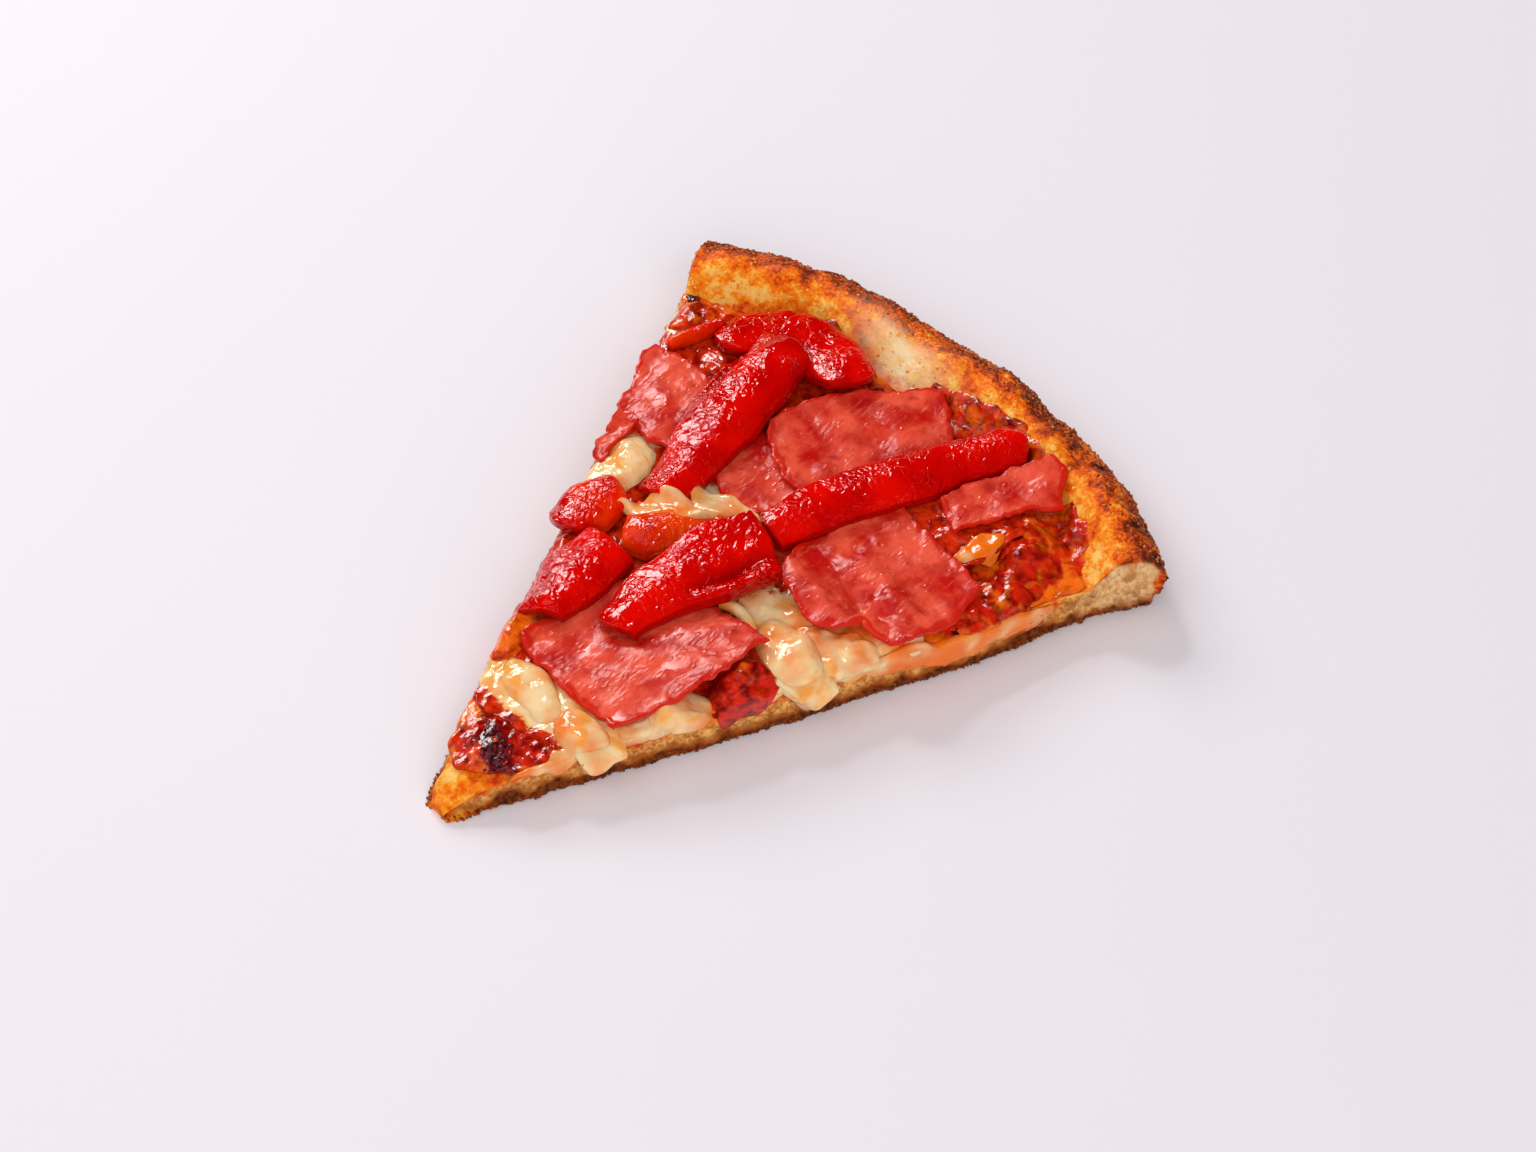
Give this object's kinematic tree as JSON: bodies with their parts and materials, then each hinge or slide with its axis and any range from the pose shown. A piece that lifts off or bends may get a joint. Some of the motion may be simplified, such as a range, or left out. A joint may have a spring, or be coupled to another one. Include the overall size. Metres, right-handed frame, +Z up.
{
  "type": "pizza slice",
  "caption": "Slice of pizza with a raised golden rim, tomato sauce, melted cheese, folded ham and strips of cooked red pepper.",
  "frame": {"origin": "middle of the slice's box on the flat underside", "axes": "+Y from the tip towards the rim, +Z up, +X across the slice to the right as seen from the tip"},
  "size_m": [0.1532, 0.1816, 0.0242],
  "materials": {
    "baked_crust": "dry golden-brown dough with dark grainy edges and a pale open crumb at the cuts",
    "tomato_sauce": "wet cooked tomato sauce",
    "melted_cheese": "glossy melted cheese, cream to yellow with orange oil stains",
    "tomato_flesh": "wet soft tomato",
    "cooked_ham": "moist rose-coloured ham with fine pale streaks",
    "red_pepper": "glossy oily red skin with orange cut edges"
  },
  "bodies": {
    "root": {"crust": "baked_crust", "tomato_sauce": "tomato_sauce", "melted_cheese": "melted_cheese", "tomato_chunk_front": "tomato_flesh", "tomato_chunk_back": "tomato_flesh", "ham_front": "cooked_ham", "ham_under": "cooked_ham", "ham_centre": "cooked_ham", "ham_left": "cooked_ham", "ham_flap": "cooked_ham", "ham_folded": "cooked_ham", "ham_by_rim": "cooked_ham", "pepper_left_edge": "red_pepper", "pepper_by_cheese": "red_pepper", "pepper_stub": "red_pepper", "pepper_cupped": "red_pepper", "pepper_long_left": "red_pepper", "pepper_long_right": "red_pepper", "pepper_rim_left": "red_pepper", "pepper_rim_right": "red_pepper", "pepper_sliver": "red_pepper"}
  },
  "joints": []
}
